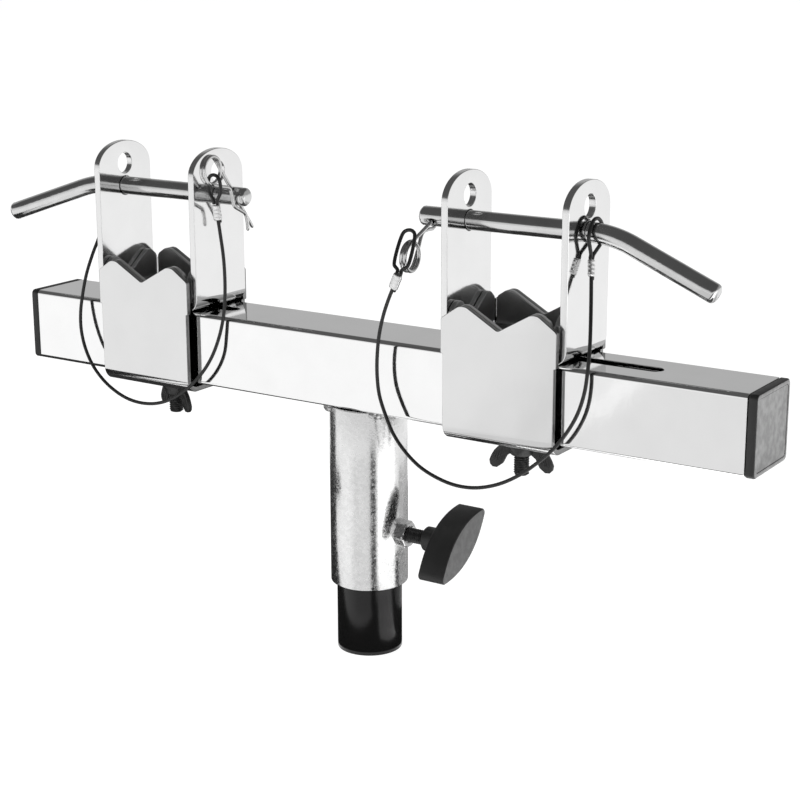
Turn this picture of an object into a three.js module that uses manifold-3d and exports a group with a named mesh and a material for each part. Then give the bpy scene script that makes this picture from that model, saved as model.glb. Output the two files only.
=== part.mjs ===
// Truss adapter crossbar: a chromed square tube on a round socket that clamps over a stand
// pole. Two cradles slide along slots in the tube. Each cradle is a saddle strip under the
// tube, a folded crown with V notches on top, and a yoke whose ears take a locking pin.
// +X runs along the tube, +Z is up, and the origin is on the pole's axis at its lower end.
import * as THREE from 'three';
import { mergeVertices } from 'three/addons/utils/BufferGeometryUtils.js';
import Module from 'manifold-3d';

const wasm = await Module();
wasm.setup();

const GAP = 0.3;                 // clearance between pieces that touch
const BAR_Z = 157.5;             // height of the tube's axis
const BAR_SIZE = 40;
const BAR_WALL = 2;
const BAR_LENGTH = 438;          // between the caps
const BAR_SHIFT = 1.5;           // tube's centre, measured from the pole's axis
const SLOT_WIDTH = 9;
const SLOT_INNER = 87.5;         // from the tube's centre to each slot's near end
const SLOT_OUTER = 168;
const CAP_THICK = 5;

const POLE_R = 17.6;
const SOCKET_R = 20.85;
const SOCKET_BORE_R = 18.1;
const SOCKET_BOTTOM = BAR_Z - 119;
const SCREW_Z = BAR_Z - 89.5;
const SCREW_R = 4;
const KNOB_X = 44.5;             // back face of the knob's wing
const KNOB_DEPTH = 15.5;
const KNOB_TILT = THREE.MathUtils.degToRad(34.5);

const SHEET = 2.8;               // saddle strip
const CROWN_SHEET = 2.8;
const YOKE_SHEET = 3.7;
const SADDLE_HALF = 31.2;        // half length of the saddle along the tube
const SADDLE_STEP = 1.2;         // its legs are this much longer each way above the tube
const SADDLE_IN = BAR_SIZE / 2 + 3.4;
const SADDLE_UNDER = BAR_SIZE / 2 + 4.6;
const CROWN_X = SADDLE_HALF;     // outer faces of the crown's end flaps
const CROWN_Y = SADDLE_IN - GAP; // outer faces of its side flaps
const CROWN_SIDE = 27.4;         // half length of the side flaps
const CROWN_END = 21;            // half width of the end flaps
const EAR_IN = CROWN_X + GAP;
const EAR_HALF = 21.5;
const EAR_TOP = 108;             // above the tube's axis
const PIN_Z = 82.8;
const SPARE_HOLE_Z = 95.4;
const PIN_R = 5;
const BOLT_R = 4;

const CLIP_WIRE_R = 1.2;
const CLIP_RING_R = 7.4;
const CLIP_RING_BACK = 26.5;     // pin axis to ring centre, along the straight leg
const CLIP_PITCH = 2.55;
const ROPE_R = 0.95;
const FERRULE_LENGTH = 8;
const EYE_GAP = 1.2;             // the eye's legs lean, so their ends stand off the ferrule

const material = (color, roughness, metalness) =>
  new THREE.MeshStandardMaterial({ color, roughness, metalness });
const finishes = {
  chrome: () => material(0xe4e6e8, 0.1, 1),
  dark_chrome: () => material(0xb9bcbf, 0.18, 1),
  zinc: () => material(0xb4b8ba, 0.38, 1),
  steel: () => material(0x8e9194, 0.3, 1),
  black_plastic: () => material(0x141414, 0.5, 0),
  black_steel: () => material(0x121212, 0.42, 0.4),
  pole_paint: () => material(0x0d0d0e, 0.45, 0),
  rope: () => material(0x1b1c1c, 0.45, 0),
  ferrule: () => material(0xc9cccf, 0.3, 1),
};

const group = new THREE.Group();
const add = (name, geometry, finish) => {
  const mesh = new THREE.Mesh(geometry, finishes[finish]());
  mesh.name = name;
  group.add(mesh);
  return mesh;
};

// ---- solids -------------------------------------------------------------------------

const vec = (x, y, z) => new THREE.Vector3(x, y, z);

function toSolid(geometry) {
  const bare = geometry.clone();
  for (const key of Object.keys(bare.attributes)) if (key !== 'position') bare.deleteAttribute(key);
  const merged = mergeVertices(bare, 1e-4);
  return new wasm.Manifold(new wasm.Mesh({
    numProp: 3,
    vertProperties: Float32Array.from(merged.attributes.position.array),
    triVerts: Uint32Array.from(merged.index.array),
  }));
}

function toGeometry(solid) {
  const mesh = solid.getMesh();
  const geometry = new THREE.BufferGeometry();
  geometry.setAttribute('position', new THREE.BufferAttribute(mesh.vertProperties, 3));
  geometry.setIndex(new THREE.BufferAttribute(mesh.triVerts, 1));
  geometry.computeVertexNormals();
  return geometry;
}

const cut = (body, ...tools) =>
  toGeometry(tools.reduce((solid, tool) => solid.subtract(toSolid(tool)), toSolid(body)));
const join = (body, ...others) =>
  toGeometry(others.reduce((solid, other) => solid.add(toSolid(other)), toSolid(body)));
const common = (a, b) => toGeometry(toSolid(a).intersect(toSolid(b)));

// a flat outline pushed along one axis: (x, y) along Z, (y, z) along X, (x, z) along Y
function extrude(shape, from, to, axis = 'z', options = {}) {
  const geometry = new THREE.ExtrudeGeometry(shape, {
    depth: to - from, bevelEnabled: false, curveSegments: 10, ...options });
  const basis = new THREE.Matrix4();
  if (axis === 'x') {
    basis.makeBasis(vec(0, 1, 0), vec(0, 0, 1), vec(1, 0, 0)).setPosition(from, 0, 0);
  } else if (axis === 'y') {
    basis.makeBasis(vec(1, 0, 0), vec(0, 0, 1), vec(0, -1, 0)).setPosition(0, to, 0);
  } else {
    basis.setPosition(0, 0, from);
  }
  return geometry.applyMatrix4(basis);
}

const polygon = (points) => new THREE.Shape(points.map(([x, y]) => new THREE.Vector2(x, y)));

function disc(radius, x = 0, y = 0) {
  const shape = new THREE.Shape();
  shape.absarc(x, y, radius, 0, Math.PI * 2);
  return shape;
}

function roundedBox(halfWidth, halfHeight, radius, x = 0, y = 0) {
  const shape = new THREE.Shape();
  const [w, h, r] = [halfWidth, halfHeight, radius];
  shape.absarc(x + w - r, y + h - r, r, 0, Math.PI / 2);
  shape.absarc(x - w + r, y + h - r, r, Math.PI / 2, Math.PI);
  shape.absarc(x - w + r, y - h + r, r, Math.PI, Math.PI * 1.5);
  shape.absarc(x + w - r, y - h + r, r, Math.PI * 1.5, Math.PI * 2);
  return shape;
}

// round rod or drilling along one axis
const rod = (radius, from, to, axis, u = 0, v = 0, segments = 6) =>
  extrude(disc(radius, u, v), from, to, axis, { curveSegments: segments });

function lathe(profile, segments = 40) {
  const points = profile.map(([r, z]) => new THREE.Vector2(r, z));
  return new THREE.LatheGeometry(points, segments).rotateX(Math.PI / 2);
}

function ring(outer, inner, low, high, segments = 40) {
  return lathe([[inner, low], [outer, low], [outer, high], [inner, high], [inner, low]], segments);
}

function tube(points, radius, sides, steps, tension = 0.5) {
  const curve = new THREE.CatmullRomCurve3(points, false, 'centripetal', tension);
  curve.arcLengthDivisions = 800;
  const section = new THREE.Shape();
  for (let i = 0; i < sides; i += 1) {
    const a = (2 * Math.PI * i) / sides;
    const method = i ? 'lineTo' : 'moveTo';
    section[method](radius * Math.cos(a), radius * Math.sin(a));
  }
  return new THREE.ExtrudeGeometry(section, { steps, bevelEnabled: false, extrudePath: curve });
}

// bent strip of sheet with two upright legs: inner half width, thickness, underside, leg top
function channel(innerHalf, sheet, bottom, top, bendIn) {
  const outerHalf = innerHalf + sheet;
  const bendOut = bendIn + sheet;
  const shape = new THREE.Shape();
  shape.moveTo(-outerHalf, top);
  shape.lineTo(-outerHalf, bottom + bendOut);
  shape.absarc(-outerHalf + bendOut, bottom + bendOut, bendOut, Math.PI, Math.PI * 1.5);
  shape.absarc(outerHalf - bendOut, bottom + bendOut, bendOut, Math.PI * 1.5, Math.PI * 2);
  shape.lineTo(outerHalf, top);
  shape.lineTo(innerHalf, top);
  shape.absarc(innerHalf - bendIn, bottom + sheet + bendIn, bendIn, 0, -Math.PI / 2, true);
  shape.absarc(-innerHalf + bendIn, bottom + sheet + bendIn, bendIn, -Math.PI / 2, -Math.PI, true);
  shape.lineTo(-innerHalf, top);
  return shape;
}

// everything above a W outline: a V notch between two hills, rounded at their tops, and
// shoulders that slope away outside them; apex is where a hill's two flanks would meet
function aboveNotch(valley, hillAt, apex, radius, fallAngle) {
  const rise = Math.atan((apex - valley) / hillAt);
  const scale = radius / Math.sin(rise + fallAngle);
  const centreX = hillAt + scale * (Math.cos(fallAngle) - Math.cos(rise));
  const centreZ = apex - scale * (Math.sin(rise) + Math.sin(fallAngle));
  const flank = [];
  for (let i = 0; i <= 6; i += 1) {
    const a = THREE.MathUtils.lerp(-rise, fallAngle, i / 6);
    flank.push([centreX + radius * Math.sin(a), centreZ + radius * Math.cos(a)]);
  }
  const [lastX, lastZ] = flank[6];
  const beyond = 25;
  flank.push([lastX + beyond, lastZ - beyond * Math.tan(fallAngle)], [lastX + beyond, 80]);
  const mirrored = flank.map(([x, z]) => [-x, z]).reverse();
  return polygon([[0, valley], ...flank, ...mirrored].map(([x, z]) => [x, z + BAR_Z]));
}

// ---- pole, socket and its clamp -----------------------------------------------------

add('stand_tube', ring(POLE_R, POLE_R - 2, 0, BAR_Z - 26), 'pole_paint');

add('socket_tube', cut(
  ring(SOCKET_R, SOCKET_BORE_R, SOCKET_BOTTOM, BAR_Z - BAR_SIZE / 2 - GAP, 48),
  rod(SCREW_R + 0.4, 12, 30, 'x', 0, SCREW_Z)), 'zinc');

const beadTop = BAR_Z - BAR_SIZE / 2 - GAP;
const bead = lathe([[SOCKET_R + 0.25, beadTop - 4.6], [SOCKET_R + 1.6, beadTop - 3.8],
  [SOCKET_R + 3, beadTop - 2.2], [SOCKET_R + 3.9, beadTop], [SOCKET_R + 0.25, beadTop],
  [SOCKET_R + 0.25, beadTop - 4.6]], 48);
for (const [name, sign] of [['weld_bead_left', -1], ['weld_bead_right', 1]]) {
  const window = extrude(roundedBox(12, BAR_SIZE / 2 - 1, 0.5, sign * 17, 0), BAR_Z - 30, BAR_Z, 'z');
  add(name, common(bead, window), 'steel');
}

const hexagon = polygon([0, 1, 2, 3, 4, 5].map((i) => {
  const a = Math.PI / 2 + (i * Math.PI) / 3;
  return [7.6 * Math.cos(a), SCREW_Z + 7.6 * Math.sin(a)];
}));
add('clamp_nut', cut(extrude(hexagon, 17, 26, 'x'),
  rod(SOCKET_R + 0.35, SCREW_Z - 20, SCREW_Z + 20, 'z', 0, 0, 20),
  rod(SCREW_R + 0.35, 10, 40, 'x', 0, SCREW_Z)), 'zinc');

add('clamp_screw', rod(SCREW_R, POLE_R + 0.3, KNOB_X - 4, 'x', 0, SCREW_Z, 8), 'black_steel');

// the wing is a lens in outline, its long axis tilted, with a round hub towards the socket
const lens = new THREE.Shape();
const [lensHalf, lensBelly, lensTip] = [24.6, 9.7, 1.6];
lens.moveTo(-lensHalf, -lensTip);
lens.quadraticCurveTo(0, -2 * lensBelly + lensTip, lensHalf, -lensTip);
lens.lineTo(lensHalf, lensTip);
lens.quadraticCurveTo(0, 2 * lensBelly - lensTip, -lensHalf, lensTip);
const wing = extrude(lens, KNOB_X + 1, KNOB_X + KNOB_DEPTH - 1, 'x', {
  bevelEnabled: true, bevelThickness: 1, bevelSize: 0.9, bevelOffset: -0.9, bevelSegments: 1 });
wing.translate(-KNOB_X, 0, 0).rotateX(KNOB_TILT).translate(KNOB_X, 0, SCREW_Z);
add('clamp_knob', cut(
  join(wing, rod(6.6, 36.5, KNOB_X + 2, 'x', 0, SCREW_Z, 10)),
  rod(SCREW_R + GAP, 30, KNOB_X - 4 + GAP, 'x', 0, SCREW_Z, 8)), 'black_plastic');

// ---- crossbar and its end caps ------------------------------------------------------

const barHalf = BAR_SIZE / 2;
const section = roundedBox(barHalf, barHalf, 1.8, 0, BAR_Z);
section.holes.push(roundedBox(barHalf - BAR_WALL, barHalf - BAR_WALL, 0.8, 0, BAR_Z));
const barFrom = BAR_SHIFT - BAR_LENGTH / 2;
const barTo = BAR_SHIFT + BAR_LENGTH / 2;
const slots = [-1, 1].map((sign) => extrude(
  roundedBox((SLOT_OUTER - SLOT_INNER) / 2, SLOT_WIDTH / 2, SLOT_WIDTH / 2 - 0.01,
    BAR_SHIFT + (sign * (SLOT_OUTER + SLOT_INNER)) / 2, 0), BAR_Z - 25, BAR_Z + 25, 'z',
  { curveSegments: 5 }));
add('crossbar', cut(extrude(section, barFrom, barTo, 'x', { curveSegments: 4 }), ...slots), 'chrome');

for (const [name, sign, face] of [['cap_left', -1, barFrom], ['cap_right', 1, barTo]]) {
  const flange = extrude(roundedBox(barHalf, barHalf, 2.4, 0, BAR_Z), GAP + 0.8,
    CAP_THICK - 0.8, 'x', { curveSegments: 5, bevelEnabled: true, bevelThickness: 0.8,
      bevelSize: 0.8, bevelOffset: -0.8, bevelSegments: 2 });
  const plugHalf = barHalf - BAR_WALL - GAP;
  const plug = extrude(roundedBox(plugHalf, plugHalf, 1, 0, BAR_Z), -12, 1, 'x', { curveSegments: 3 });
  const cap = join(flange, plug);
  if (sign < 0) cap.rotateZ(Math.PI);
  add(name, cap.translate(face, 0, 0), 'black_plastic');
}

// ---- cradles ------------------------------------------------------------------------

// locking pin: straight shank through both ears, then a handle bent down by a wide radius
function pin(tip, handle, lean, crossHole) {
  const [shank, run, fall, bend] = [107, 54.5, 23.5, 12];
  const corner = vec(tip + handle * shank, 0, 0);
  const end = corner.clone().add(vec(handle * run, -fall * Math.sin(lean), -fall * Math.cos(lean)));
  const along = end.clone().sub(corner).normalize();
  const [a, b] = [corner.clone().add(vec(-handle * bend, 0, 0)), corner.clone().addScaledVector(along, bend)];
  const path = new THREE.CurvePath();
  path.add(new THREE.LineCurve3(vec(tip + handle * 1.2, 0, 0), a));
  path.add(new THREE.QuadraticBezierCurve3(a, corner, b));
  path.add(new THREE.LineCurve3(b, end));
  const round = disc(PIN_R);
  const shaft = new THREE.ExtrudeGeometry(round, {
    steps: 32, curveSegments: 6, bevelEnabled: false, extrudePath: path });
  const tipCone = new THREE.CylinderGeometry(PIN_R - 1.1, PIN_R - 0.05, 1.4, 12);
  tipCone.rotateZ(handle * Math.PI / 2).translate(tip + handle * 0.7, 0, 0);
  const endCone = new THREE.CylinderGeometry(PIN_R - 1.4, PIN_R - 0.05, 1.8, 12);
  endCone.applyQuaternion(new THREE.Quaternion().setFromUnitVectors(vec(0, 1, 0), along));
  endCone.translate(...end.clone().addScaledVector(along, 0.7).toArray());
  const drill = new THREE.CylinderGeometry(CLIP_WIRE_R + 0.35, CLIP_WIRE_R + 0.35, 30, 10);
  drill.applyQuaternion(new THREE.Quaternion().setFromUnitVectors(vec(0, 1, 0), crossHole.leg));
  drill.translate(crossHole.x, 0, 0);
  return cut(join(shaft, tipCone, endCone), drill).translate(0, 0, BAR_Z + PIN_Z);
}

// spring clip: a straight leg through the pin, a ring of just over one and a half turns, and
// a waved leg that hugs the pin's outside
function clip({ x, leg, side, lay }) {
  const at = (a, b, offset) => vec(x + lay * offset, a * leg.y + b * side.y,
    BAR_Z + PIN_Z + a * leg.z + b * side.z);
  const points = [24, 16, 8, 0, -8, -16, -22].map((a) => at(a, 0, 0));
  const turns = 1.6;
  const steps = 20;
  for (let i = 0; i <= steps; i += 1) {
    const phi = (turns * 2 * Math.PI * i) / steps;
    points.push(at(-CLIP_RING_BACK - CLIP_RING_R * Math.sin(phi),
      CLIP_RING_R - CLIP_RING_R * Math.cos(phi), (CLIP_PITCH * phi) / (2 * Math.PI)));
  }
  const far = CLIP_PITCH * turns;
  for (const [a, b] of [[-16, 8.6], [-10, 4], [-5.4, 4.8], [0, 6.9], [5.4, 4.8], [10, 2.9],
    [14, 4], [19, 7]]) points.push(at(a, b, far));
  return tube(points, CLIP_WIRE_R, 6, 66);
}

// rope eye: two legs leave the ferrule's face at root, spread to the full half width within
// the throat's share of the length, and meet round the tip
function eye(root, tip, wide, throat) {
  const along = tip.clone().sub(root);
  const shoulder = 1 - wide.length() / along.length();
  const foot = 1.15 / wide.length();
  const at = (t, w) => root.clone().addScaledVector(along, t).addScaledVector(wide, w);
  const half = [[0, foot], [0.06, foot], [(0.06 + throat) / 2, (1 + foot) / 2], [throat, 1],
    [shoulder, 1], [shoulder + (1 - shoulder) * 0.72, 0.72]];
  return tube([...half.map(([t, w]) => at(t, w)), at(1, 0),
    ...half.reverse().map(([t, w]) => at(t, -w))], ROPE_R, 8, 20);
}

// crimped ferrule: an oval slug from one point towards another
function ferrule(from, to, wide) {
  const along = to.clone().sub(from).normalize();
  const across = wide.clone().addScaledVector(along, -wide.dot(along)).normalize();
  const up = along.clone().cross(across);
  const slug = extrude(roundedBox(2.5, 1.5, 1.49), 0, FERRULE_LENGTH, 'z', { curveSegments: 4 });
  slug.applyMatrix4(new THREE.Matrix4().makeBasis(across, up, along));
  return slug.translate(from.x, from.y, from.z);
}

function wingNut(x, angle) {
  const top = BAR_Z - SADDLE_UNDER - 2.1;
  const hub = lathe([[BOLT_R + GAP, top - 7], [6, top - 7], [7.4, top - 1.6], [7.4, top],
    [BOLT_R + GAP, top], [BOLT_R + GAP, top - 7]], 20);
  const lobe = (s) => polygon([[5.4, -1.2], [9.4, -1.6], [14.8, -6.4], [17.4, -12], [16.6, -14.6],
    [13.2, -15.6], [10, -13.4], [7.6, -9], [5.4, -6.4]].map(([r, z]) => [s * r, top + z]));
  const wings = [1, -1].map((s) => extrude(lobe(s), -1.5, 1.5, 'y'));
  return join(hub, ...wings).rotateZ(angle).translate(x, 0, 0);
}

function cradle(side, spec) {
  const { x, saddle, handle, reach, lean, legAngle, nutAngle, tether } = spec;
  const boltHole = rod(BOLT_R + 0.5, BAR_Z - 40, BAR_Z + 40, 'z', 0, 0, 8);
  const notch = aboveNotch(34.5, 20.2, 46, 6, 0.6);
  const place = (geometry) => geometry.translate(x, 0, 0);

  const [saddleFrom, saddleTo] = saddle;
  const strip = extrude(channel(SADDLE_IN, SHEET, BAR_Z - SADDLE_UNDER, BAR_Z + 50, 5),
    saddleFrom - SADDLE_STEP, saddleTo + SADDLE_STEP, 'x', { curveSegments: 6 });
  const steps = [saddleFrom - 5, saddleTo + 5].map((at) => extrude(roundedBox(5, 40, 0.4, at, 0),
    BAR_Z - 40, BAR_Z + barHalf, 'z', { curveSegments: 2 }));
  add(`saddle_${side}`, place(cut(strip, extrude(notch, -40, 40, 'y'), boltHole, ...steps)), 'chrome');

  const yokeBase = BAR_Z + barHalf + GAP;
  const crownBase = yokeBase + YOKE_SHEET + GAP;
  const sideFlaps = cut(
    extrude(channel(CROWN_Y - CROWN_SHEET, CROWN_SHEET, crownBase, BAR_Z + 50, 2),
      -CROWN_SIDE, CROWN_SIDE, 'x', { curveSegments: 4 }),
    extrude(notch, -40, 40, 'y'));
  const endFlaps = cut(
    extrude(channel(CROWN_X - CROWN_SHEET, CROWN_SHEET, crownBase, BAR_Z + 50, 2.6),
      -CROWN_END, CROWN_END, 'y', { curveSegments: 4 }),
    extrude(aboveNotch(35.2, 14.5, 46, 5, 0.7), -60, 60, 'x'));
  add(`crown_${side}`, place(cut(join(sideFlaps, endFlaps), boltHole)), 'dark_chrome');

  const earTop = new THREE.Shape();
  earTop.moveTo(EAR_HALF, BAR_Z + barHalf - 5);
  earTop.lineTo(EAR_HALF, BAR_Z + EAR_TOP - 14);
  earTop.absellipse(0, BAR_Z + EAR_TOP - 14, EAR_HALF, 14, 0, Math.PI);
  earTop.lineTo(-EAR_HALF, BAR_Z + barHalf - 5);
  const uChannel = extrude(channel(EAR_IN, YOKE_SHEET, yokeBase, BAR_Z + EAR_TOP + 10, 4),
    -EAR_HALF - 2, EAR_HALF + 2, 'y', { curveSegments: 6 });
  add(`yoke_${side}`, place(cut(
    common(uChannel, extrude(earTop, -60, 60, 'x', { curveSegments: 12 })),
    rod(5.8, -60, 60, 'x', 0, BAR_Z + SPARE_HOLE_Z), rod(PIN_R + 0.4, -60, 60, 'x', 0, BAR_Z + PIN_Z),
    boltHole)), 'chrome');

  const head = crownBase + CROWN_SHEET + GAP;
  const under = BAR_Z - SADDLE_UNDER;
  add(`clamp_bolt_${side}`, place(lathe([[0, under - 20], [2.6, under - 20], [BOLT_R, under - 18.8],
    [BOLT_R, head], [8.2, head], [8.2, head + 1], [6.6, head + 3.2], [3.6, head + 4.4],
    [0, head + 4.7]], 16)), 'black_steel');
  add(`washer_${side}`, place(ring(8.6, BOLT_R + 0.5, under - 1.8, under - GAP, 16)), 'black_steel');
  add(`wing_nut_${side}`, wingNut(x, nutAngle), 'black_steel');

  const leg = vec(0, Math.cos(legAngle), Math.sin(legAngle));
  const tip = x - handle * reach;
  const cross = { x: tip + handle * 8.4, leg, lay: -handle, side: vec(0, leg.z, -leg.y) };
  add(`locking_pin_${side}`, pin(tip, handle, lean, cross), 'steel');
  add(`spring_clip_${side}`, clip(cross), 'steel');

  // tether: eye and ferrule at the clip, the rope's free loop, ferrule and eye at the pin
  const lift = ([px, py, pz]) => vec(px, py, pz + BAR_Z);
  const route = tether.route.map(lift);
  const slug = (end, next, name) => {
    const along = end.root.clone().sub(next).normalize();
    const tail = end.root.clone().addScaledVector(along, -FERRULE_LENGTH);
    add(`tether_ferrule_${name}_${side}`, ferrule(end.root, tail, end.wide), 'ferrule');
    add(`tether_eye_${name}_${side}`,
      eye(end.root.clone().addScaledVector(along, EYE_GAP), end.tip, end.wide, end.throat), 'rope');
    return tail.addScaledVector(along, -GAP);
  };
  const lifted = ({ root, tip, wide, throat }) => (
    { root: lift(root), tip: lift(tip), wide: vec(...wide), throat });
  const from = slug(lifted(tether.clipEnd), route[0], 'clip');
  const to = slug(lifted(tether.pinEnd), route.at(-1), 'pin');
  add(`tether_rope_${side}`, tube([from, ...route, to], ROPE_R, 8, 64), 'rope');
}

// The tether's route and eyes are points on the tube's own height, from the clip to the pin.
cradle('left', {
  x: -132.7, saddle: [-29.6, 31], handle: -1, reach: 55, lean: 0.58, legAngle: -0.916, nutAngle: -0.4,
  tether: {
    clipEnd: { root: [-82.6, -21.2, 81], tip: [-83.2, -21.5, 97], wide: [3.9, 0, 0], throat: 0.4 },
    pinEnd: { root: [-172.3, -7, 70], tip: [-172, 3.1, 88.7], wide: [0, 5.8, -3.15], throat: 0.42 },
    route: [
      [-80.4, -21, 66], [-78.5, -21.2, 54], [-77.7, -21.4, 42], [-77.9, -21.6, 31],
      [-79, -21.9, 21], [-81.2, -23.2, 10], [-84.8, -25.4, -1], [-90.4, -27.2, -10.4],
      [-98.5, -28.8, -19.2], [-108.5, -30, -26.4], [-119.5, -30.6, -31],
      [-130.5, -30.6, -32.7], [-141.6, -30.2, -32], [-152, -29.4, -29], [-161.5, -28.6, -24],
      [-169.3, -28, -17], [-175.4, -27.2, -7.5], [-178.6, -26.4, 2.5], [-179.6, -25.2, 12],
      [-179, -23.6, 22], [-177.6, -21, 34], [-175.6, -17.4, 45], [-173.8, -13, 55],
    ],
  },
});
cradle('right', {
  x: 93.3, saddle: [-SADDLE_HALF, SADDLE_HALF], handle: 1, reach: 59.5, lean: 0, legAngle: 0.4, nutAngle: 0.15,
  tether: {
    clipEnd: { root: [40.2, -32.4, 58], tip: [40.6, -22.4, 79], wide: [3.9, 0, 0], throat: 0.17 },
    pinEnd: { root: [132.2, -4.6, 70.3], tip: [131.9, 2.3, 89.2], wide: [0, 6.15, -2.3], throat: 0.42 },
    route: [
      [33.6, -31, 45], [30, -30.2, 36.6], [26.6, -29.2, 25.5], [24.8, -28.4, 14.5],
      [24.4, -28, 4], [25.8, -28.2, -6], [29.6, -28.6, -15.6], [35, -29.2, -25.2],
      [42.3, -29.8, -33], [51.5, -30.4, -39.4], [62, -30.8, -43.4], [73, -31, -45.4],
      [84.5, -31, -44.8], [97, -30.7, -41], [108.5, -30.2, -34.6], [118.5, -29.4, -26.6],
      [127, -28.2, -18], [133.2, -26.6, -9], [137.4, -25, 0], [139.8, -23.4, 10],
      [140.5, -21.9, 20.5], [139.6, -18.6, 31], [137.8, -14.8, 41], [135.6, -10.6, 51],
    ],
  },
});

export default group;
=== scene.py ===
import math

import bmesh
import bpy
import numpy as np
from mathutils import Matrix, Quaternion, Vector


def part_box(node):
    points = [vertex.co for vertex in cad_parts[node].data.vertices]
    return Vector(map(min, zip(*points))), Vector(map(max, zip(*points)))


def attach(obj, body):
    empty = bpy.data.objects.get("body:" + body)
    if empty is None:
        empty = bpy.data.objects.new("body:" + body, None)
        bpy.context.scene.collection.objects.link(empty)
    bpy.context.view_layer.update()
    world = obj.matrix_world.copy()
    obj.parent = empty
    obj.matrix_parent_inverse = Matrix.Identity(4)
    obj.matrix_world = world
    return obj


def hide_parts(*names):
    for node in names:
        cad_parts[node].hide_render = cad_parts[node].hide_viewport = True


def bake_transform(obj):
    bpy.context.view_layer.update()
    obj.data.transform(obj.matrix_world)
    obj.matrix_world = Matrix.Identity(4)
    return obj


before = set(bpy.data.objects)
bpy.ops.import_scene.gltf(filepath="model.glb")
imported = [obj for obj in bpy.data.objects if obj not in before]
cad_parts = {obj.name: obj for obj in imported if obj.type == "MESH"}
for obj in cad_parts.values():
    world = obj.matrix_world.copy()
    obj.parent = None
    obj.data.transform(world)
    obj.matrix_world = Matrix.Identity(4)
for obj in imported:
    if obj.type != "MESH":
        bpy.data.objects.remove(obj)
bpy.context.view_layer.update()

# ---- Camera, floor and studio light ---------------------------------------------------
# A long lens looks down a little on the bar from its right-hand end. The floor is plain and
# pale. The room is bright low down in front, mid grey low down behind and dark overhead.

LENS_MM = 81.56
camera = bpy.data.objects.new("camera", bpy.data.cameras.new("camera"))
camera.data.lens = LENS_MM
camera.data.sensor_width = 36.0
camera.location = (0.5212, -0.7685, 0.3868)
aim = Vector((0.01997, 0.0, 0.14145)) - camera.location
camera.rotation_mode = "QUATERNION"
camera.rotation_quaternion = aim.to_track_quat("-Z", "Y") @ Quaternion((0, 0, 1), -0.00206)
bpy.context.collection.objects.link(camera)
bpy.context.scene.camera = camera
bpy.context.scene.view_settings.view_transform = "Standard"


class Wire:
    """A shader socket that does sums: each operator adds one Math node."""

    def __init__(self, tree, socket=None):
        self.tree, self.socket = tree, socket

    def node(self, kind, settings, sockets, out=0):
        """Adds a node, sets it up, then fills its sockets with numbers or other wires."""
        made = self.tree.nodes.new("ShaderNode" + kind)
        for key, value in settings.items():
            setattr(made, key, value)
        for key, value in sockets.items():
            if isinstance(value, Wire):
                self.tree.links.new(value.socket, made.inputs[key])
            else:
                made.inputs[key].default_value = value
        return Wire(self.tree, made.outputs[out])

    def sum(self, operation, first, second):
        return self.node("Math", {"operation": operation}, {0: first, 1: second})

    def __add__(self, other):
        return self.sum("ADD", self, other)

    def __sub__(self, other):
        return self.sum("SUBTRACT", self, other)

    def __rsub__(self, other):
        return self.sum("SUBTRACT", other, self)

    def __mul__(self, other):
        return self.sum("MULTIPLY", self, other)

    __radd__, __rmul__ = __add__, __mul__

    def step(self, low, high):
        """0 below low, 1 above high, and a soft step between them."""
        return self.node("MapRange", {"interpolation_type": "SMOOTHSTEP"},
                         {"Value": self, "From Min": low, "From Max": high})

    def blend(self, dark, light):
        """The colour this far from dark to light."""
        return self.node("Mix", {"data_type": "RGBA"},
                         {0: self, 6: (*dark, 1.0), 7: (*light, 1.0)}, out=2)


def grey(level):
    return (level, level, level)


ROOM_FRONT, ROOM_BACK, ROOM_TOP = 0.9, 0.48, 0.1
FLOOR_R, FLOOR_SIDES = 60, 64
world = bpy.data.worlds.new("studio")
world.use_nodes = True
bpy.context.scene.world = world
room = Wire(world.node_tree)
direction = room.node("TexCoord", {}, {}, out="Generated")
behind = room.node("SeparateXYZ", {}, {0: direction}, out="Y").step(-0.1, 0.3)
height = room.node("SeparateXYZ", {}, {0: direction}, out="Z")
front_band = (1 - height.step(0.16, 0.3)) * (1 - behind) * (ROOM_FRONT - ROOM_TOP)
rear_band = (1 - height.step(0.4, 0.75)) * behind * (ROOM_BACK - ROOM_TOP)
level = front_band + rear_band + ROOM_TOP
backdrop = world.node_tree.nodes["Background"]
world.node_tree.links.new(level.socket, backdrop.inputs["Color"])

floor_mesh = bpy.data.meshes.new("floor")
floor_rim = [(FLOOR_R * math.cos(a), FLOOR_R * math.sin(a), 0.0)
             for a in np.linspace(0, math.tau, FLOOR_SIDES + 1)[:-1]]
floor_mesh.from_pydata(floor_rim, [], [tuple(range(FLOOR_SIDES))])
floor = bpy.data.objects.new("floor", floor_mesh)
bpy.context.collection.objects.link(floor)
floor_finish = bpy.data.materials.new("pale_floor")
floor_finish.use_nodes = True
floor_shader = floor_finish.node_tree.nodes["Principled BSDF"]
floor_shader.inputs["Base Color"].default_value = (*grey(0.3), 1)
floor_shader.inputs["Roughness"].default_value = 0.7
floor_shader.inputs["Specular IOR Level"].default_value = 0.0
floor_shader.inputs["Emission Color"].default_value = (1, 1, 1, 1)
floor_shader.inputs["Emission Strength"].default_value = 0.95
floor_mesh.materials.append(floor_finish)


def soft_box(name, watts, width, height, place, towards):
    lamp = bpy.data.lights.new(name, "AREA")
    lamp.shape, lamp.size, lamp.size_y, lamp.energy = "RECTANGLE", width, height, watts
    rig = bpy.data.objects.new(name, lamp)
    rig.location = place
    rig.rotation_mode = "QUATERNION"
    rig.rotation_quaternion = (Vector(towards) - rig.location).to_track_quat("-Z", "Y")
    rig.visible_glossy = False
    bpy.context.collection.objects.link(rig)


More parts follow.
